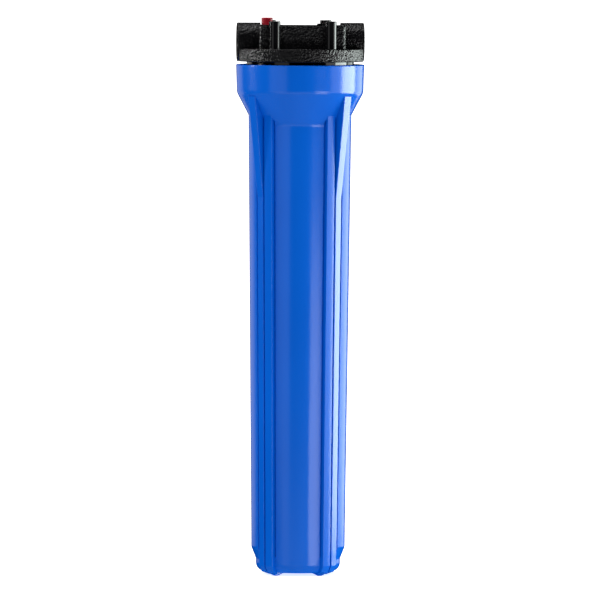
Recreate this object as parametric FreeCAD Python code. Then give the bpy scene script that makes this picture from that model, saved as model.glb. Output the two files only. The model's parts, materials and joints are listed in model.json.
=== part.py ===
import FreeCAD
import Part

import math
import os

from FreeCAD import Vector

# Cartridge filter housing: a sump, the filter cartridge that stands in it, and a screwed-on cap with two
# pipe ports and a press-to-vent pressure relief valve. Millimetres, +Z up, the origin on the floor under
# the axis, the ports along X, the inlet at -X.

# Sump (the bowl), from the floor up
FLOOR_Z = 3.0                # underside of the bowl, clear of the floor
BASE_R = 43.0                # plain wall at its foot
BASE_Z = 16.0
NECK_R = 47.9                # plain wall where the cone begins
NECK_Z = 460.0
COLLAR_R = 64.5
CONE_TOP_Z = 491.5
RIM_R = 65.4                 # the collar widens a little up to its rim
RIM_Z = 520.2
RIB_HEIGHT = 4.6             # ribs and side pads stand this far off the plain wall
PAD_FOOT_Z = 28.0            # the side pads end here and taper off to BASE_Z
FOOT_TOP_Z = 24.0
RIB_EASE = 0.6               # rounding of the ribs' long edges
WALL = 4.2
BOWL_FLOOR_Z = 7.0
SUMP_TURN_DEG = -3.5         # how the tightened sump stands to the ports
RIB_A_DEG = (32.8, 43.9)     # ribs by their angle from the front face
RIB_B_DEG = (45.8, 55.9)
PAD_DEG = (57.8, 122.2)
CREASE_DEG = (31.1, 32.9)     # a shallow channel along the inner side of each A rib
CREASE_DEPTH = 1.3
GUSSET_FOOT_Z = 386.0        # where the tapering top of each B rib runs out
FOOT_IN_R, FOOT_R = 20.0, (33.0, 35.5)   # a foot slopes up from its landing to run out at FOOT_IN_R
SHOE_Z = 1.3                 # the ribs stop this far off the floor beside the landings
LANDING_DEG = (37.0, 43.9)   # the part of each A rib that reaches the floor

# The screw thread between the sump and the cap, right-handed
LEAD = 6.35
SKIRT_R = 54.6               # cap skirt, also the root of its thread
CAP_CREST_R = 58.0
BORE_R = 58.6                # collar bore, also the root of its thread
SUMP_CREST_R = 55.2
THREAD_START_Z = 498.6       # centre of the cap's ridge at angle 0
CAP_TURNS, SUMP_TURNS = 2.7, 3.3
RIDGE_ROOT_W, RIDGE_CREST_W = 3.0, 1.5
EMBED = 0.6                  # how deep a ridge is rooted in its wall

# Main seal: an O-ring round the nose of the cap, which closes on a smooth bore below the thread
LEDGE_Z = 485.5
LIP_R = 46.4
SEAL_BORE_R = 55.05
NOSE_R = 54.3
NOSE_Z, NOSE_TOP_Z = 486.3, 496.4
GROOVE_R, GROOVE_W = 51.2, 4.4
SEAL_D = 3.5
SEAL_R = GROOVE_R + 0.05 + SEAL_D / 2
SEAL_Z = 490.6

# Cap
BAND_R = 65.6
BAND_FLAT_X = 63.1           # the band is cut flat under the ports
BAND_Z, DECK_Z = 523.3, 536.5
SKIRT_IN_R = 48.0
CHAMBER_Z = 527.0            # roof of the chamber inside the skirt
POCKET_Z = 532.0             # floor of the cored pockets in the top
WALL_TOP_Z = 559.8
BLOCK_X, BLOCK_Y = 44.0, 42.0
BLOCK_WALL = 3.5
RIB_TOP_Z = 556.0
RIB_T = 3.0
HUB_R, HUB_TOP_Z = 17.0, 557.0
TUNNEL_R = 14.4
COLUMN_X, COLUMN_Y, COLUMN_R, COLUMN_TOP_Z = 28.5, 44.5, 5.9, 564.7
SCREW_R, SCREW_DEPTH = 2.1, 20.0
CAP_EASE = 0.8               # rounding of the cap's outer edges

# Ports
PORT_Z = 543.0
PORT_FACE_X = 64.7
PORT_BOSS_R = 19.7
PORT_R, PORT_DEPTH, PORT_CHAMFER = 12.6, 19.0, 1.5
PASSAGE_R = 11.0

# Cartridge seat
SEAT_R, SEAT_Z = 21.0, 519.5
KNIFE_R, KNIFE_H = 19.5, 1.4
SPIGOT_R, SPIGOT_Z, SPIGOT_BORE_R = 12.8, 508.0, 9.5

# Cartridge, 508 long by 63.5 across: two equal modules, the upper one turned over, welded to a joiner
CARTRIDGE_Z0, CARTRIDGE_Z1 = 9.8, 517.8
CARTRIDGE_MID_Z = (CARTRIDGE_Z0 + CARTRIDGE_Z1) / 2
CARTRIDGE_R = 31.75
END_CAP_T, END_RIM_T, GASKET_T, GASKET_PROUD = 8.0, 6.0, 3.0, 1.2
JOINER_T = 6.0
CAP_HOLE_R = 14.0
GASKET_R = (14.2, 24.3)
CORE_R = (14.2, 15.9)
CAGE_R = (30.5, 31.5)
CORE_ROWS, CAGE_ROWS, CAGE_BARS, CAGE_RING_H = 8, 7, 8, 5.0
PLEATS, PLEAT_R, PLEAT_T = 40, (16.4, 30.2), 0.9

# Pressure relief valve, over the inlet passage
RELIEF_X = -34.0
RELIEF_BOSS_R, RELIEF_BOSS_Z = 8.6, 560.5
WELL_R, WELL_Z = 6.4, 555.8
STEM_R, STEM_HOLE_R = 2.2, 2.7
VALVE_SEAT_R, VALVE_SEAT_Z = 5.2, 554.1
BUTTON_R, BUTTON_Z, BUTTON_TOP_Z = 5.8, 559.0, 567.8
BUTTON_CUP_R, BUTTON_CUP_Z = 4.9, 564.0
SPRING_R, SPRING_WIRE, SPRING_COILS = 3.9, 0.8, 5
VALVE_RING_R, VALVE_RING_D = 3.6, 1.8
VALVE_RING_Z = VALVE_SEAT_Z - 0.15 - VALVE_RING_D / 2
WASHER_R, WASHER_T = 4.7, 0.8

AXIS = Vector(0, 0, 1)
ORIGIN = Vector(0, 0, 0)


def rounded_wire(corners):
    """A closed wire in the XZ plane through (r, z) corners; a third number rounds that corner."""
    points = [Vector(c[0], 0, c[1]) for c in corners]
    radii = [c[2] if len(c) > 2 else 0 for c in corners]
    legs = []
    for i, p in enumerate(points):
        if not radii[i]:
            legs.append((p, None, p))
            continue
        u = (points[i - 1] - p).normalize()
        v = (points[(i + 1) % len(points)] - p).normalize()
        half = u.getAngle(v) / 2
        reach = radii[i] / math.tan(half)
        centre = p + (u + v).normalize() * (radii[i] / math.sin(half))
        middle = centre + (p - centre).normalize() * radii[i]
        legs.append((p + u * reach, middle, p + v * reach))
    edges = []
    for i, (start, middle, end) in enumerate(legs):
        if middle:
            edges.append(Part.Arc(start, middle, end).toShape())
        following = legs[(i + 1) % len(legs)][0]
        if end.distanceToPoint(following) > 1e-6:
            edges.append(Part.LineSegment(end, following).toShape())
    return Part.Wire(edges)


def turned(corners):
    """The solid that an outline in the XZ plane makes when it is revolved about Z."""
    return Part.Face(rounded_wire(corners)).revolve(ORIGIN, AXIS, 360)


def rod(radius, z0, z1, x=0.0, y=0.0):
    return Part.makeCylinder(radius, z1 - z0, Vector(x, y, z0), AXIS)


def rod_x(radius, x0, x1, z=PORT_Z):
    return Part.makeCylinder(radius, abs(x1 - x0), Vector(x0, 0, z), Vector(x1 - x0, 0, 0))


def boss(radius, z0, z1, x=0.0, y=0.0):
    """An upright rod whose top edge is eased."""
    shape = turned([(0, z0), (radius, z0), (radius, z1, CAP_EASE), (0, z1)])
    shape.translate(Vector(x, y, 0))
    return shape


def boss_x(radius, x0, x1):
    """A boss that lies along X at the ports' height, from x0 out to x1."""
    shape = boss(radius, 0, abs(x1 - x0))
    shape.rotate(ORIGIN, Vector(0, 1, 0), 90 if x1 > x0 else -90)
    shape.translate(Vector(x0, 0, PORT_Z))
    return shape


def block(x0, x1, y0, y1, z0, z1):
    return Part.makeBox(x1 - x0, y1 - y0, z1 - z0, Vector(x0, y0, z0))


def rounded_block(half_x, half_y, radius, z0, z1):
    """An upright block about the axis, its four vertical edges rounded."""
    box = block(-half_x, half_x, -half_y, half_y, z0, z1)
    return rounded(box, radius, lambda e: abs(e.tangentAt(e.FirstParameter).z) > 0.9)


def rounded(shape, radius, chosen):
    """The shape with the edges that the test picks rounded off."""
    return shape.makeFillet(radius, [e for e in shape.Edges if chosen(e)])


def fused(shapes):
    return shapes[0].multiFuse(shapes[1:]).removeSplitter()


def sector(start_deg, end_deg, z0, z1):
    """An upright wedge between two angles, which are measured from the sump's front face (-Y)."""
    reach = 90.0
    angles = [math.radians(start_deg + (end_deg - start_deg) * i / 4) for i in range(5)]
    rim = [Vector(reach * math.sin(a), -reach * math.cos(a), z0) for a in angles]
    wire = Part.makePolygon([Vector(0, 0, z0), *rim, Vector(0, 0, z0)])
    wedge = Part.Face(wire).extrude(Vector(0, 0, z1 - z0))
    wedge.rotate(ORIGIN, AXIS, SUMP_TURN_DEG)
    return wedge


def eased_wedge(outline, span, low_r, high_z, radius=RIB_EASE):
    """A span of a turned outline, its long edges rounded where they are past low_r and below high_z."""
    wedge = turned(outline).common(sector(*span, -1, RIM_Z)).Solids[0]

    def long_edge(edge):
        ends = [math.atan2(v.Y, v.X) for v in edge.Vertexes]
        middle = edge.valueAt((edge.FirstParameter + edge.LastParameter) / 2)
        upright = len(ends) == 2 and abs(ends[0] - ends[1]) < 1e-4
        return upright and math.hypot(middle.x, middle.y) > low_r and middle.z < high_z

    return rounded(wedge, radius, long_edge)


def both_ways(span):
    """The four copies of a rib's span that the front, back, left and right symmetry gives."""
    start, end = span
    mirrored = [(start, end), (-end, -start)]
    return mirrored + [(180 - b, 180 - a) for a, b in mirrored]


def ridge(root_r, crest_r, start_z, turns):
    """A helical thread ridge that stands from root_r to crest_r, inwards or outwards."""
    sink = EMBED if crest_r > root_r else -EMBED
    foot_w = RIDGE_ROOT_W + (RIDGE_ROOT_W - RIDGE_CREST_W) * EMBED / abs(crest_r - root_r)
    corners = [
        Vector(root_r - sink, 0, -foot_w / 2),
        Vector(crest_r, 0, -RIDGE_CREST_W / 2),
        Vector(crest_r, 0, RIDGE_CREST_W / 2),
        Vector(root_r - sink, 0, foot_w / 2),
    ]
    path = Part.Wire(Part.makeHelix(LEAD, LEAD * turns, root_r).Edges)
    profile = Part.makePolygon([*corners, corners[0]])
    solid = path.makePipeShell([profile], True, True)
    solid.translate(Vector(0, 0, start_z))
    return solid


def plain_r(z):
    """Outside radius of the sump's plain wall, with its moulding draft."""
    return BASE_R + (NECK_R - BASE_R) * (z - BASE_Z) / (NECK_Z - BASE_Z)


def cone_z(r):
    """Height of the cone under the collar at a radius."""
    return NECK_Z + (CONE_TOP_Z - NECK_Z) * (r - NECK_R) / (COLLAR_R - NECK_R)


def sump_blank():
    """The sump's outside without its ribs."""
    return turned([
        (0, FLOOR_Z), (BASE_R, FLOOR_Z, 9), (BASE_R, BASE_Z), (NECK_R, NECK_Z, 10),
        (COLLAR_R, CONE_TOP_Z, 12), (RIM_R, RIM_Z, 0.9), (0, RIM_Z),
    ])


def foot_outline(landing_z):
    """How a rib wraps under the bowl's corner and comes down to its landing."""
    return [
        (FOOT_IN_R, FOOT_TOP_Z), (FOOT_IN_R, FLOOR_Z), (FOOT_R[0], landing_z, 0.6),
        (FOOT_R[1], landing_z, 1.2), (BASE_R + 1.5, landing_z / 2 + 3.6, 2.5),
        (plain_r(10) + RIB_HEIGHT, 10, 4), (plain_r(FOOT_TOP_Z) + RIB_HEIGHT, FOOT_TOP_Z),
    ]


def sump_ribs():
    """Ribs, side pads and tapering gussets, each a wedge of a turned outline."""
    top_r = plain_r(NECK_Z) + RIB_HEIGHT
    head = [(top_r, cone_z(top_r)), (30, cone_z(top_r))]
    rib = [(30, FOOT_TOP_Z), (plain_r(FOOT_TOP_Z) + RIB_HEIGHT, FOOT_TOP_Z), *head]
    pad = [
        (30, BASE_Z), (plain_r(BASE_Z), BASE_Z), (plain_r(PAD_FOOT_Z) + RIB_HEIGHT, PAD_FOOT_Z, 6), *head,
    ]
    gusset_foot_r, gusset_top_z = plain_r(GUSSET_FOOT_Z) + RIB_HEIGHT, CONE_TOP_Z - 3
    gusset = [
        (30, GUSSET_FOOT_Z), (gusset_foot_r, GUSSET_FOOT_Z), (COLLAR_R - 0.9, gusset_top_z),
        (30, gusset_top_z),
    ]
    ribs = []
    for copy in [*both_ways(RIB_A_DEG), *both_ways(RIB_B_DEG)]:
        ribs.append(eased_wedge(rib, copy, 40, cone_z(top_r) - 1))
        ribs.append(eased_wedge(foot_outline(SHOE_Z), copy, FOOT_IN_R + 1, FOOT_TOP_Z - 1, 0.5))
    for copy in both_ways(LANDING_DEG):
        ribs.append(eased_wedge(foot_outline(0), copy, FOOT_IN_R + 1, FOOT_TOP_Z - 1, 0.5))
    for copy in both_ways(RIB_B_DEG):
        ribs.append(eased_wedge(gusset, copy, 45, gusset_top_z - 1))
    for copy in (PAD_DEG, (-PAD_DEG[1], -PAD_DEG[0])):
        ribs.append(eased_wedge(pad, copy, 40, cone_z(top_r) - 1))
    return ribs


def sump_creases():
    """The channels beside the A ribs, which run out on the cone and above the bowl's rounded corner."""
    low_z, high_z = BASE_Z + 4, NECK_Z + 4
    low_r, high_r = plain_r(low_z) - CREASE_DEPTH, plain_r(high_z) - CREASE_DEPTH
    skin = turned([(low_r, low_z), (low_r + 10, low_z), (high_r + 10, high_z), (high_r, high_z)])
    return [skin.common(sector(*copy, low_z - 1, high_z + 1)) for copy in both_ways(CREASE_DEG)]


def sump_hollow():
    """The bowl, the ledge that stops the cap, the seal's bore and the collar's bore."""
    top = RIM_Z + 1
    return turned([
        (0, BOWL_FLOOR_Z), (plain_r(BASE_Z) - WALL, BOWL_FLOOR_Z, 6), (plain_r(NECK_Z) - WALL, NECK_Z + 2),
        (LIP_R, NECK_Z + 9), (LIP_R, LEDGE_Z), (SEAL_BORE_R, LEDGE_Z), (SEAL_BORE_R, NOSE_TOP_Z - 2),
        (BORE_R, NOSE_TOP_Z - 1), (BORE_R, RIM_Z - 1.2), (BORE_R + 2.2, top), (0, top),
    ])


def sump_seat():
    """The raised ring and the crossed fins on the bowl's floor that centre the cartridge."""
    ring = turned([
        (17, BOWL_FLOOR_Z - 1), (22, BOWL_FLOOR_Z - 1), (22, 8.6), (KNIFE_R, CARTRIDGE_Z0), (17, 8.6),
    ])
    fins = [block(-12.6, 12.6, -1.5, 1.5, BOWL_FLOOR_Z - 1, 24.0)]
    fins.append(fins[0].copy())
    fins[1].rotate(ORIGIN, AXIS, 90)
    return [ring, *fins]


def make_sump():
    body = fused([sump_blank().cut(sump_creases()), *sump_ribs()]).cut(sump_hollow())
    thread = ridge(BORE_R, SUMP_CREST_R, THREAD_START_Z - LEAD / 2, SUMP_TURNS)
    return fused([body, *sump_seat(), thread])


def cap_core():
    """Band, deck, skirt, hub and the seat that the cartridge closes on, all round the axis."""
    return turned([
        (0, HUB_TOP_Z), (HUB_R, HUB_TOP_Z, 1), (HUB_R, POCKET_Z), (BLOCK_X - 8, POCKET_Z),
        (BLOCK_X - 8, DECK_Z), (BAND_R, DECK_Z, 1), (BAND_R, BAND_Z, 1), (SKIRT_R, BAND_Z),
        (SKIRT_R, NOSE_TOP_Z), (NOSE_R, NOSE_TOP_Z), (NOSE_R, SEAL_Z + GROOVE_W / 2),
        (GROOVE_R, SEAL_Z + GROOVE_W / 2), (GROOVE_R, SEAL_Z - GROOVE_W / 2), (NOSE_R, SEAL_Z - GROOVE_W / 2),
        (NOSE_R, NOSE_Z, 0.6), (SKIRT_IN_R, NOSE_Z, 0.5), (SKIRT_IN_R, CHAMBER_Z, 3),
        (SEAT_R, CHAMBER_Z, 2), (SEAT_R, SEAT_Z), (KNIFE_R + 0.8, SEAT_Z), (KNIFE_R, SEAT_Z - KNIFE_H),
        (KNIFE_R - 0.8, SEAT_Z), (SPIGOT_R, SEAT_Z), (SPIGOT_R, SPIGOT_Z, 1.2), (0, SPIGOT_Z),
    ])


def cap_top():
    """What stands on the deck: the wrench block, bosses, tunnels, ribs and bracket columns."""
    inner_x, inner_y = BLOCK_X - BLOCK_WALL, BLOCK_Y - BLOCK_WALL
    walls = rounded_block(BLOCK_X, BLOCK_Y, 4, POCKET_Z - 2, WALL_TOP_Z)
    walls = walls.cut(rounded_block(inner_x, inner_y, 2, POCKET_Z - 3, WALL_TOP_Z + 1))
    walls = rounded(walls, CAP_EASE, lambda e: min(v.Z for v in e.Vertexes) > WALL_TOP_Z - 0.1)
    shapes = [walls]
    for side in (-1, 1):
        shapes.append(boss_x(PORT_BOSS_R, side * (inner_x + 0.5), side * PORT_FACE_X))
        shapes.append(rod_x(TUNNEL_R, side * 4, side * (inner_x + 1)))
        shapes.append(block(-RIB_T / 2, RIB_T / 2, *sorted((side * 10, side * (inner_y + 1))),
                            POCKET_Z - 2, RIB_TOP_Z))
        for end in (-1, 1):
            shapes.append(boss(COLUMN_R, DECK_Z - 2, COLUMN_TOP_Z, end * COLUMN_X, side * COLUMN_Y))
            x = end * COLUMN_X
            shapes.append(block(x - RIB_T / 2, x + RIB_T / 2, *sorted((side * 8, side * (inner_y + 1))),
                                POCKET_Z - 2, RIB_TOP_Z))
    shapes.append(boss(RELIEF_BOSS_R, PORT_Z, RELIEF_BOSS_Z, RELIEF_X))
    shapes.append(block(17.3, 22.1, -5, 5, PORT_Z + 8, 561.9))
    shapes.append(block(22.9, 26.6, -5, 5, PORT_Z + 8, 561.9))
    return shapes


def cap_passages():
    """Ports, water passages, the relief valve's well and the bracket screw holes."""
    cuts = [
        rod(SPIGOT_BORE_R, SPIGOT_Z - 1, PORT_Z), Part.makeSphere(PASSAGE_R, Vector(0, 0, PORT_Z)),
        rod_x(PASSAGE_R, 0, PORT_FACE_X), rod_x(PASSAGE_R, RELIEF_X + 8, -PORT_FACE_X),
        rod(7.0, CHAMBER_Z - 1, PORT_Z, RELIEF_X - 1),
        rod(VALVE_SEAT_R, PORT_Z, VALVE_SEAT_Z, RELIEF_X), rod(STEM_HOLE_R, PORT_Z, WELL_Z + 1, RELIEF_X),
        rod(WELL_R, WELL_Z, BUTTON_TOP_Z, RELIEF_X),
    ]
    for side in (-1, 1):
        mouth, bottom = PORT_FACE_X - PORT_CHAMFER, PORT_FACE_X - PORT_CHAMFER - PORT_DEPTH
        cuts.append(rod_x(PORT_R, side * bottom, side * (PORT_FACE_X + 1)))
        cuts.append(Part.makeCone(PORT_R, PORT_R + 2 * PORT_CHAMFER, 2 * PORT_CHAMFER,
                                  Vector(side * mouth, 0, PORT_Z), Vector(side, 0, 0)))
        for end in (-1, 1):
            cuts.append(rod(SCREW_R, COLUMN_TOP_Z - SCREW_DEPTH, COLUMN_TOP_Z + 1,
                            end * COLUMN_X, side * COLUMN_Y))
    return cuts


def make_cap():
    flats = [block(*sorted((side * BAND_FLAT_X, side * 80)), -40, 40, BAND_Z - 1, DECK_Z + 1)
             for side in (-1, 1)]
    body = fused([cap_core().cut(flats), *cap_top()])
    body = body.cut(cap_passages())
    return fused([body, ridge(SKIRT_R, CAP_CREST_R, THREAD_START_Z, CAP_TURNS)])


def make_relief_button():
    head = turned([
        (0, BUTTON_TOP_Z), (BUTTON_R, BUTTON_TOP_Z, 0.8), (BUTTON_R, BUTTON_Z), (BUTTON_CUP_R, BUTTON_Z),
        (BUTTON_CUP_R, BUTTON_CUP_Z), (STEM_R, BUTTON_CUP_Z, 0.5),
        (STEM_R, VALVE_RING_Z - VALVE_RING_D / 2 - 0.05), (0, VALVE_RING_Z - VALVE_RING_D / 2 - 0.05),
    ])
    head.translate(Vector(RELIEF_X, 0, 0))
    screw_hole = rod(1.25, VALVE_RING_Z - 3, VALVE_RING_Z + 8, RELIEF_X)
    return head.cut(screw_hole)


def make_relief_spring():
    z0 = WELL_Z + SPRING_WIRE / 2 + 0.05
    height = BUTTON_CUP_Z - WELL_Z - SPRING_WIRE - 0.1
    path = Part.Wire(Part.makeHelix(height / SPRING_COILS, height, SPRING_R).Edges)
    section = Part.Wire(Part.makeCircle(SPRING_WIRE / 2, Vector(SPRING_R, 0, 0), Vector(0, 1, 0)))
    spring = path.makePipeShell([section], True, True)
    spring.translate(Vector(RELIEF_X, 0, z0))
    return spring


def make_relief_o_ring():
    return Part.makeTorus(VALVE_RING_R - 0.35, VALVE_RING_D / 2, Vector(RELIEF_X, 0, VALVE_RING_Z), AXIS)


def make_relief_washer():
    top = VALVE_RING_Z - VALVE_RING_D / 2 - 0.05
    return rod(WASHER_R, top - WASHER_T, top, RELIEF_X).cut(rod(1.5, top - 2, top + 1, RELIEF_X))


def make_relief_screw():
    """A pan-head screw from below into the button's stem, with a cross recess."""
    top = VALVE_RING_Z - VALVE_RING_D / 2 - 0.05 - WASHER_T
    body = turned([(0, top - 2.0), (3.3, top - 2.0, 1.2), (3.3, top), (1.2, top), (1.2, top + 8), (0, top + 8)])
    for x, y in ((1.6, 0.35), (0.35, 1.6)):
        body = body.cut(block(-x, x, -y, y, top - 3, top - 1))
    body.translate(Vector(RELIEF_X, 0, 0))
    return body


def make_cap_o_ring():
    return Part.makeTorus(SEAL_R, SEAL_D / 2, Vector(0, 0, SEAL_Z), AXIS)


def module_span():
    """Bottom and top of the pleats in the lower module."""
    return CARTRIDGE_Z0 + GASKET_PROUD + END_CAP_T, CARTRIDGE_MID_Z - JOINER_T / 2


def make_end_cap():
    """The lower end cap, with the recess for its gasket and a rim that carries the cage."""
    z, inner_r = CARTRIDGE_Z0 + GASKET_PROUD, CAGE_R[0]
    recess_z, rim_z = CARTRIDGE_Z0 + GASKET_T, z + END_CAP_T + END_RIM_T
    return turned([
        (CARTRIDGE_R, z, 1), (CARTRIDGE_R, rim_z), (inner_r, rim_z), (inner_r, z + END_CAP_T),
        (CAP_HOLE_R, z + END_CAP_T), (CAP_HOLE_R, recess_z), (GASKET_R[1] + 0.2, recess_z),
        (GASKET_R[1] + 0.2, z),
    ])


def make_gasket():
    z0, z1 = CARTRIDGE_Z0, CARTRIDGE_Z0 + GASKET_T
    return rod(GASKET_R[1], z0, z1).cut(rod(GASKET_R[0], z0 - 1, z1 + 1))


def make_joiner():
    """The ring between the two modules, with a rim for each cage."""
    web, rim = JOINER_T / 2, JOINER_T / 2 + END_RIM_T
    ring = turned([
        (CAP_HOLE_R, -web), (CAGE_R[0], -web), (CAGE_R[0], -rim), (CARTRIDGE_R, -rim), (CARTRIDGE_R, rim),
        (CAGE_R[0], rim), (CAGE_R[0], web), (CAP_HOLE_R, web),
    ])
    ring.translate(Vector(0, 0, CARTRIDGE_MID_Z))
    return ring


def make_core():
    """The slotted tube inside the pleats."""
    z0, z1 = module_span()
    tube = rod(CORE_R[1], z0, z1).cut(rod(CORE_R[0], z0 - 1, z1 + 1))
    step = (z1 - z0) / CORE_ROWS
    slots = []
    for row in range(CORE_ROWS):
        z = z0 + step * (row + 0.5)
        for turn in (0, 90):
            slot = block(-20, 20, -2, 2, z - 9, z + 9)
            slot.rotate(ORIGIN, AXIS, turn + 45 * (row % 2))
            slots.append(slot)
    return tube.cut(slots)


def make_cage():
    """The open cage round the pleats: rings joined by upright bars."""
    z0, z1 = module_span()
    z0, z1 = z0 + END_RIM_T, z1 - END_RIM_T
    tube = rod(CAGE_R[1], z0, z1).cut(rod(CAGE_R[0], z0 - 1, z1 + 1))
    step = (z1 - z0 - CAGE_RING_H) / CAGE_ROWS
    windows = []
    for row in range(CAGE_ROWS):
        low = z0 + CAGE_RING_H + step * row
        for i in range(CAGE_BARS // 2):
            window = block(-40, 40, -9.5, 9.5, low, low + step - CAGE_RING_H)
            window.rotate(ORIGIN, AXIS, 360 / CAGE_BARS * i)
            windows.append(window)
    return tube.cut(windows)


def make_pleats():
    """The pleated medium: one folded sheet, closed on itself."""
    z0, z1 = module_span()
    inner_r, outer_r = PLEAT_R
    half = math.pi / PLEATS
    fold = PLEAT_T / (2 * half)

    def zigzag(r_in, r_out):
        corners = []
        for i in range(2 * PLEATS):
            r, a = (r_out if i % 2 else r_in), i * half
            corners.append(Vector(r * math.cos(a), r * math.sin(a), z0))
        return Part.Face(Part.makePolygon([*corners, corners[0]]))

    sheet = zigzag(inner_r + fold, outer_r).cut(zigzag(inner_r, outer_r - fold))
    return sheet.extrude(Vector(0, 0, z1 - z0))


def turned_over(shape):
    """The same piece in the upper module."""
    upper = shape.copy()
    upper.rotate(Vector(0, 0, CARTRIDGE_MID_Z), Vector(1, 0, 0), 180)
    return upper


def main():
    nodes = {
        "cap": make_cap(),
        "sump": make_sump(),
        "cap_o_ring": make_cap_o_ring(),
        "relief_button": make_relief_button(),
        "relief_spring": make_relief_spring(),
        "relief_o_ring": make_relief_o_ring(),
        "relief_washer": make_relief_washer(),
        "relief_screw": make_relief_screw(),
        "cartridge_joiner": make_joiner(),
    }
    module = {
        "core": make_core(),
        "pleats": make_pleats(),
        "cage": make_cage(),
        "end_cap": make_end_cap(),
        "gasket": make_gasket(),
    }
    for name, shape in module.items():
        nodes[f"lower_{name}"] = shape
        nodes[f"upper_{name}"] = turned_over(shape)
    os.makedirs("parts", exist_ok=True)
    for name, shape in nodes.items():
        shape.exportStep(f"parts/{name}.step")
        print(f"{name:18} valid {shape.isValid()} solids {len(shape.Solids)} volume {shape.Volume:10.0f}")


main()
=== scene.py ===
import json
import math

import bmesh
import bpy
from mathutils import Matrix, Vector


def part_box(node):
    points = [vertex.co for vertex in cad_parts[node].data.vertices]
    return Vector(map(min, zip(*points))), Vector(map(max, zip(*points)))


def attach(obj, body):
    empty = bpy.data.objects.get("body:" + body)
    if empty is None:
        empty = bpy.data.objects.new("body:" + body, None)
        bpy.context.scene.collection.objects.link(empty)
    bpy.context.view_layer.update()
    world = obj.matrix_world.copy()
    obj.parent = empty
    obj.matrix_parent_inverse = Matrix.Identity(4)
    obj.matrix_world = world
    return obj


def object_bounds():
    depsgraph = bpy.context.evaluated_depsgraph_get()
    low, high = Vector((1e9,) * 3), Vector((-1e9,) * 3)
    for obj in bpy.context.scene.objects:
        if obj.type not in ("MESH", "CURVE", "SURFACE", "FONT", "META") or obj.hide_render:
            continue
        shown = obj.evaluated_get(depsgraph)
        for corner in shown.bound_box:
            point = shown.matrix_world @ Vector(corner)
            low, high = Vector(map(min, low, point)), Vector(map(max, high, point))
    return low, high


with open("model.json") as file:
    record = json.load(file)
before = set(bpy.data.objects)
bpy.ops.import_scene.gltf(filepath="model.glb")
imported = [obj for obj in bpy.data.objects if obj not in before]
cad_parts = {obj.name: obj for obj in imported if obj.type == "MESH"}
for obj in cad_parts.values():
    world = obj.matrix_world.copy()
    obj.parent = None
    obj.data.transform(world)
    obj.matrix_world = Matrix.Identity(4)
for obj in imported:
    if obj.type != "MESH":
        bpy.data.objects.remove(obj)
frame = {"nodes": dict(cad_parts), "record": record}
cad_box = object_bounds()

# Places, read off the frame, in metres
SUMP_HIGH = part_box("sump")[1]
MOUNTS = {m["name"]: m for m in frame["record"]["mounts"]}
PORT_Z = MOUNTS["inlet_port"]["pos_m"][2]
BOSS_X = MOUNTS["bracket_screws"]["dims"]["spacing_x_mm"] / 2000
BOSS_Y = MOUNTS["bracket_screws"]["dims"]["spacing_y_mm"] / 2000
BAND_LOW_Z = SUMP_HIGH.z + 0.0031
BAND_TOP_Z = BAND_LOW_Z + 0.0132
COLUMN_R = 0.0061                # a little more than a bracket boss
PORT_FACE_R, PORT_BORE_X = 0.0172, 0.0455    # the smooth part of a port: its bore and most of its face


# Shader maths

class Value:
    """A shader socket that Python's arithmetic works on: each operator adds its Math node."""

    def __init__(self, finish, socket):
        self.finish, self.socket = finish, socket

    def math(self, operation, *values):
        return self.finish.node("ShaderNodeMath", {"operation": operation}, dict(enumerate(values)))

    def __add__(self, other):
        return self.math("ADD", self, other)

    def __sub__(self, other):
        return self.math("SUBTRACT", self, other)

    def __rsub__(self, other):
        return self.math("SUBTRACT", other, self)

    def __mul__(self, other):
        return self.math("MULTIPLY", self, other)

    def __gt__(self, other):
        return self.math("GREATER_THAN", self, other)

    def __lt__(self, other):
        return self.math("LESS_THAN", self, other)

    def __abs__(self):
        return self.math("ABSOLUTE", self)

    def step(self, low, high):
        """0 below low, 1 above high, smooth between."""
        settings = {"interpolation_type": "SMOOTHSTEP"}
        return self.finish.node("ShaderNodeMapRange", settings, {0: self, 1: low, 2: high})

    __radd__ = __add__
    __rmul__ = __mul__


def distance(a, b):
    square = a * a + b * b
    return square.math("SQRT", square)


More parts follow.
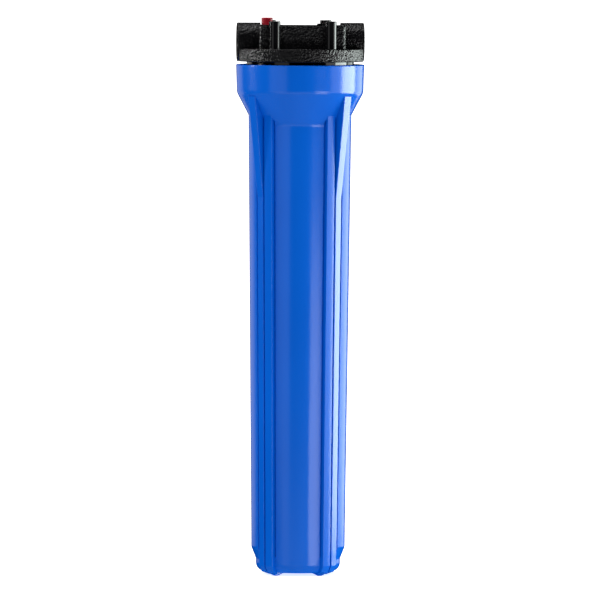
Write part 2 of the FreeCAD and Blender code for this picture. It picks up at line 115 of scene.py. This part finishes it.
class Finish:
    """A material, built up from nodes round one Principled shader."""

    def __init__(self, name, slot, **uniform):
        self.slot = slot
        self.material = bpy.data.materials.new(name)
        self.material.use_nodes = True
        self.tree = self.material.node_tree
        self.shader = self.tree.nodes["Principled BSDF"]
        for socket, value in uniform.items():
            self.shader.inputs[socket.replace("_", " ")].default_value = value
        self.place = self.node("ShaderNodeTexCoord", output="Object")

    def node(self, kind, settings=None, inputs=None, output=0):
        made = self.tree.nodes.new(kind)
        for key, value in (settings or {}).items():
            setattr(made, key, value)
        for key, value in (inputs or {}).items():
            if isinstance(value, Value):
                self.tree.links.new(value.socket, made.inputs[key])
            else:
                made.inputs[key].default_value = value
        return Value(self, made.outputs[output])

    def axes(self):
        """x, y and z of the point, in metres."""
        made = self.tree.nodes.new("ShaderNodeSeparateXYZ")
        self.tree.links.new(self.place.socket, made.inputs[0])
        return [Value(self, socket) for socket in made.outputs]

    def stretched(self, x, y, z):
        """The point's place with each axis scaled, so that a pattern runs along one of them."""
        return self.node("ShaderNodeMapping", inputs={"Vector": self.place, "Scale": (x, y, z)})

    def noise(self, size, detail=2.0, rough=0.5, place=None):
        """Noise from 0 to 1 with features of about that size, in metres."""
        inputs = {"Vector": place or self.place, "Scale": 1 / size, "Detail": detail, "Roughness": rough}
        return self.node("ShaderNodeTexNoise", inputs=inputs)

    def cells(self, size, feature="SMOOTH_F1", place=None):
        """Distance to the nearest of a scatter of points about that far apart, in cells."""
        inputs = {"Vector": place or self.place, "Scale": 1 / size}
        return self.node("ShaderNodeTexVoronoi", {"feature": feature}, inputs)

    def mix(self, share, low, high):
        inputs = {0: share, 6: low, 7: high}
        return self.node("ShaderNodeMix", {"data_type": "RGBA"}, inputs, output=2)

    def bump(self, height, depth):
        """Height from 0 to 1 as relief of that depth, in metres."""
        inputs = {"Height": height, "Distance": depth, "Strength": 1.0}
        self.set("Normal", self.node("ShaderNodeBump", inputs=inputs))

    def set(self, socket, value):
        self.tree.links.new(value.socket, self.shader.inputs[socket])

    def coat(self, *objects):
        for obj in objects:
            obj.data.materials.clear()
            obj.data.materials.append(self.material)


# Finishes

def blue_polypropylene():
    """Sump: smooth moulded polypropylene with faint flow marks along the draw."""
    f = Finish("blue_polypropylene", "sump_plastic", IOR=1.49, Specular_IOR_Level=0.8)
    flow = f.noise(0.03, 3.0, place=f.stretched(1.0, 1.0, 0.12))
    cloud = f.noise(0.09, 2.0)
    peel = f.noise(0.0035, 2.0, place=f.stretched(1.0, 1.0, 0.45))
    grain = f.noise(0.0006, 2.0)
    shade = (flow * 0.6 + cloud * 0.4).step(0.3, 0.7)
    f.set("Base Color", f.mix(shade, (0.0002, 0.128, 0.72, 1), (0.0004, 0.142, 0.78, 1)))
    f.set("Roughness", 0.15 + flow * 0.04 + grain * 0.04)
    f.bump(peel * 0.7 + grain * 0.3, 0.00004)
    return f


def black_pebbled_plastic():
    """Cap: pebbled all over but on the bracket bosses, the skirt and the inside of the ports."""
    f = Finish("black_pebbled_plastic", "cap_plastic", IOR=1.5, Specular_IOR_Level=0.8)
    x, y, z = f.axes()
    bosses = (distance(abs(x) - BOSS_X, abs(y) - BOSS_Y) < COLUMN_R) * (z > BAND_TOP_Z)
    ports = (distance(y, z - PORT_Z) < PORT_FACE_R) * (abs(x) > PORT_BORE_X)
    skirt = z < BAND_LOW_Z
    smooth = bosses.math("MAXIMUM", bosses.math("MAXIMUM", bosses, skirt), ports)
    shift = f.noise(0.004, 2.0) * 0.0007
    shifted = f.node("ShaderNodeVectorMath", {"operation": "ADD"}, {0: f.place, 1: shift})
    pebbles = f.cells(0.0019, place=shifted)
    grain = f.noise(0.0004, 2.0)
    textured = 1 - smooth
    f.set("Base Color", f.mix(f.noise(0.02), (0.003, 0.003, 0.0035, 1), (0.006, 0.006, 0.007, 1)))
    f.set("Roughness", textured * (0.12 + grain * 0.1) + smooth * 0.1)
    f.bump(textured * (pebbles * 0.85 + grain * 0.15), 0.0011)
    return f


def red_plastic():
    f = Finish("red_plastic", "button_plastic", IOR=1.5)
    f.set("Base Color", f.mix(f.noise(0.004), (0.42, 0.004, 0.018, 1), (0.5, 0.008, 0.028, 1)))
    f.set("Roughness", 0.28 + f.noise(0.0008) * 0.12)
    f.bump(f.noise(0.0012), 0.00003)
    return f


def black_rubber():
    f = Finish("black_rubber", "seal_rubber", IOR=1.5)
    bloom = f.noise(0.006, 3.0).step(0.4, 0.8)
    f.set("Base Color", f.mix(bloom, (0.01, 0.01, 0.01, 1), (0.022, 0.022, 0.022, 1)))
    f.set("Roughness", 0.42 + bloom * 0.2)
    f.bump(f.noise(0.0005, 3.0), 0.00002)
    return f


def drawn_steel():
    f = Finish("drawn_steel", "stainless_steel", Metallic=1.0)
    lines = f.noise(0.0006, 3.0, place=f.stretched(0.2, 1.0, 1.0))
    f.set("Base Color", f.mix(lines, (0.5, 0.49, 0.47, 1), (0.66, 0.65, 0.63, 1)))
    f.set("Roughness", 0.24 + lines * 0.18)
    f.bump(lines, 0.00001)
    return f


def white_polypropylene():
    f = Finish("white_polypropylene", "cartridge_plastic", IOR=1.49)
    f.set("Base Color", f.mix(f.noise(0.02), (0.78, 0.79, 0.78, 1), (0.86, 0.87, 0.86, 1)))
    f.set("Roughness", 0.38 + f.noise(0.001) * 0.15)
    f.bump(f.noise(0.002), 0.00003)
    return f


def filter_cloth():
    """Non-woven polyester: matted fibres and a grid of bonding points."""
    f = Finish("filter_cloth", "filter_cloth", Sheen_Weight=0.3)
    fibres = f.noise(0.0007, 5.0, 0.7)
    dots = f.cells(0.0016, "F1")
    f.set("Base Color", f.mix(fibres, (0.74, 0.74, 0.7, 1), (0.9, 0.9, 0.87, 1)))
    f.set("Roughness", 0.75 + fibres * 0.2)
    f.bump(fibres * 0.6 + dots * 0.4, 0.00012)
    return f


def finish_nodes():
    finishes = {
        f.slot: f for f in (
            blue_polypropylene(), black_pebbled_plastic(), red_plastic(), black_rubber(), drawn_steel(),
            white_polypropylene(), filter_cloth(),
        )
    }
    for part in frame["record"]["subparts"]:
        finishes[part["material_slot"]].coat(frame["nodes"][part["node"]])
    return finishes


# Small shapes that the solids leave plain

THREAD_PITCH, THREAD_TURNS, THREAD_STEPS = 0.001814, 9, 72
THREAD_DEPTH = 0.0009
THREAD_ROOT, THREAD_CREST = THREAD_PITCH * 0.44, THREAD_PITCH * 0.06    # half-widths of the ridge
THREAD_BURIED = 0.0003       # how far the ridge's foot is sunk in the wall
THREAD_INSET = 0.0008        # from the port's face to the first turn
THREAD_TAPER = 0.6 / 32      # of the radius, along the thread


def new_piece(name, node, finish, bm):
    """A closed mesh as an object that rides on a node's body."""
    bmesh.ops.remove_doubles(bm, verts=bm.verts, dist=1e-6)
    bmesh.ops.recalc_face_normals(bm, faces=bm.faces)
    mesh = bpy.data.meshes.new(name)
    bm.to_mesh(mesh)
    bm.free()
    piece = bpy.data.objects.new(name, mesh)
    bpy.context.collection.objects.link(piece)
    finish.coat(piece)
    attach(piece, node)


def cut_pipe_threads(finish):
    """The tapered pipe thread inside each port, as one helical ridge."""
    for name, side in (("inlet", -1), ("outlet", 1)):
        mount = MOUNTS[f"{name}_port"]
        wall_r = mount["dims"]["r_mm"] / 1000
        mouth_x = abs(mount["pos_m"][0]) + mount["dims"]["length_mm"] / 2000 - THREAD_INSET
        bm = bmesh.new()
        corners = (
            (-THREAD_ROOT, THREAD_BURIED), (-THREAD_CREST, -THREAD_DEPTH),
            (THREAD_CREST, -THREAD_DEPTH), (THREAD_ROOT, THREAD_BURIED),
        )
        verts = [bm.verts.new((mouth_x + along, 0, PORT_Z + wall_r + out)) for along, out in corners]
        bm.faces.new(verts)
        bmesh.ops.spin(
            bm, geom=bm.verts[:] + bm.edges[:] + bm.faces[:], cent=(0, 0, PORT_Z), axis=(1, 0, 0),
            dvec=(-THREAD_PITCH / THREAD_STEPS, 0, 0), angle=-2 * math.pi * THREAD_TURNS,
            steps=THREAD_STEPS * THREAD_TURNS,
        )
        for vert in bm.verts:
            out = Vector((0, vert.co.y, vert.co.z - PORT_Z))
            if out.length < wall_r:
                vert.co -= out.normalized() * (mouth_x - vert.co.x) * THREAD_TAPER
            if side < 0:
                vert.co.x, vert.co.y = -vert.co.x, -vert.co.y
        new_piece(f"{name}_thread", "cap", finish, bm)


GATE_Z = 0.0028              # middle of the stub, which is half sunk in the bowl's end
GATE_LOW_R, GATE_HIGH_R, GATE_DEPTH = 0.0036, 0.0042, 0.0009


def mark_gate(finish):
    """The trimmed stub under the bowl where the plastic was let into the mould."""
    bm = bmesh.new()
    bmesh.ops.create_cone(
        bm, cap_ends=True, segments=48, radius1=GATE_LOW_R, radius2=GATE_HIGH_R, depth=GATE_DEPTH,
        matrix=Matrix.Translation((0, 0, GATE_Z)),
    )
    new_piece("gate_mark", "sump", finish, bm)


# Stage, light and camera

CENTRE = Vector((0, 0, cad_box[1].z / 2))
CAMERA_AZIMUTH, CAMERA_TILT = -3.2, 2.7
CAMERA_DISTANCE = 8.8
SPAN = 0.612                 # width of the view at the housing
ROLL = 0.27
SHIFT_X, SHIFT_Y = 0.0009, -0.004    # of the view at the housing
FILL = (0.15, 0.55, 0.0, 1.15)   # steepness of the direction, and the fill's strength there


def from_axis(azimuth, elevation=0.0):
    """The direction from the housing's axis towards an azimuth round it, 0 at the front and 90 at +X."""
    a, e = math.radians(azimuth), math.radians(elevation)
    return Vector((math.sin(a) * math.cos(e), -math.cos(a) * math.cos(e), math.sin(e)))


def aim(obj, place, target, roll=0.0):
    obj.matrix_world = (
        Matrix.Translation(place)
        @ (target - place).to_track_quat("-Z", "Y").to_matrix().to_4x4()
        @ Matrix.Rotation(math.radians(roll), 4, "Z")
    )


def make_camera():
    data = bpy.data.cameras.new("camera")
    data.sensor_width = 36
    data.lens = data.sensor_width * CAMERA_DISTANCE / SPAN
    data.shift_x, data.shift_y = SHIFT_X / SPAN, SHIFT_Y / SPAN
    data.clip_end = 100
    camera = bpy.data.objects.new("camera", data)
    bpy.context.collection.objects.link(camera)
    aim(camera, CENTRE + from_axis(CAMERA_AZIMUTH, CAMERA_TILT) * CAMERA_DISTANCE, CENTRE, ROLL)
    bpy.context.scene.camera = camera


def panel(name, size, radiance, tint, place, target):
    """A rectangle of light that the camera doesn't see."""
    width, height = size
    data = bpy.data.lights.new(name, "AREA")
    data.shape = "RECTANGLE"
    data.size, data.size_y = width, height
    data.energy = radiance * math.pi * width * height
    data.color = tint
    light = bpy.data.objects.new(name, data)
    bpy.context.collection.objects.link(light)
    aim(light, place, target)
    light.visible_camera = False


def softbox(name, azimuth, distance_m, size, low, radiance, tint=(1.0, 1.0, 1.0)):
    """An upright panel of light that faces the axis, from a height of low up."""
    middle = Vector((0, 0, low + size[1] / 2))
    panel(name, size, radiance, tint, middle + from_axis(azimuth + CAMERA_AZIMUTH) * distance_m, middle)


def make_lights():
    softbox("right_softbox", 99, 2.0, (1.3, 0.85), -0.15, 7.8, (0.9, 1.0, 0.96))
    softbox("right_side_softbox", 68, 2.0, (0.8, 0.9), -0.15, 0.9)
    softbox("right_back_softbox", 137, 2.0, (1.0, 0.9), -0.15, 2.1, (0.9, 1.0, 0.96))
    softbox("right_front_softbox", 41, 2.0, (0.85, 0.8), -0.6, 2.1)
    softbox("left_front_softbox", -40, 2.0, (1.15, 0.9), -0.15, 0.3)
    softbox("left_back_softbox", -145, 2.0, (1.2, 0.9), -0.15, 0.5)
    softbox("left_high_softbox", -96, 2.0, (0.4, 0.6), 0.55, 13.0)
    softbox("low_front_softbox", -12, 2.0, (2.6, 0.55), -0.66, 0.32)
    panel("overhead_softbox", (1.4, 1.4), 1.6, (1.0, 1.0, 1.0), Vector((-0.5, 0.4, 2.4)), Vector((0, 0, 0)))


def studio_shader(tree, seen, felt):
    """What the camera sees and what the housing's surfaces see of the same thing."""
    path = tree.nodes.new("ShaderNodeLightPath")
    mix = tree.nodes.new("ShaderNodeMixShader")
    tree.links.new(path.outputs["Is Camera Ray"], mix.inputs[0])
    tree.links.new(felt.outputs[0], mix.inputs[1])
    tree.links.new(seen.outputs[0], mix.inputs[2])
    return mix


def glow(tree, kind, strength):
    shader = tree.nodes.new(kind)
    shader.inputs["Color"].default_value = (1, 1, 1, 1)
    shader.inputs["Strength"].default_value = strength
    return shader


def make_world():
    """White to the camera. The fill comes from high and low, where the housing's walls mirror nothing."""
    world = bpy.data.worlds.new("studio")
    world.use_nodes = True
    bpy.context.scene.world = world
    tree = world.node_tree
    tree.nodes.clear()
    direction = tree.nodes.new("ShaderNodeTexCoord")
    axes = tree.nodes.new("ShaderNodeSeparateXYZ")
    fill = tree.nodes.new("ShaderNodeMapRange")
    fill.interpolation_type = "SMOOTHSTEP"
    for socket, value in zip(("From Min", "From Max", "To Min", "To Max"), FILL):
        fill.inputs[socket].default_value = value
    tree.links.new(direction.outputs["Generated"], axes.inputs[0])
    steepness = tree.nodes.new("ShaderNodeMath")
    steepness.operation = "ABSOLUTE"
    tree.links.new(axes.outputs[2], steepness.inputs[0])
    tree.links.new(steepness.outputs[0], fill.inputs["Value"])
    felt = glow(tree, "ShaderNodeBackground", 0.0)
    tree.links.new(fill.outputs[0], felt.inputs["Strength"])
    output = tree.nodes.new("ShaderNodeOutputWorld")
    seen = glow(tree, "ShaderNodeBackground", 1.0)
    tree.links.new(studio_shader(tree, seen, felt).outputs[0], output.inputs[0])
    world.cycles_visibility.glossy = False


def make_floor():
    """Plain and pale. Only the camera sees it, so the fill from below comes through it."""
    bm = bmesh.new()
    bmesh.ops.create_grid(bm, x_segments=1, y_segments=1, size=60)
    mesh = bpy.data.meshes.new("floor")
    bm.to_mesh(mesh)
    bm.free()
    floor = bpy.data.objects.new("floor", mesh)
    bpy.context.collection.objects.link(floor)
    material = bpy.data.materials.new("studio_floor")
    material.use_nodes = True
    shader = material.node_tree.nodes["Principled BSDF"]
    shader.inputs["Base Color"].default_value = (0.9, 0.9, 0.9, 1)
    shader.inputs["Specular IOR Level"].default_value = 0
    shader.inputs["Emission Color"].default_value = (1, 1, 1, 1)
    shader.inputs["Emission Strength"].default_value = 0.7
    mesh.materials.append(material)
    floor.visible_diffuse = floor.visible_glossy = floor.visible_shadow = False


finishes = finish_nodes()
cut_pipe_threads(finishes["cap_plastic"])
mark_gate(finishes["sump_plastic"])
make_world()
make_lights()
make_floor()
make_camera()
bpy.context.scene.view_settings.view_transform = "Standard"
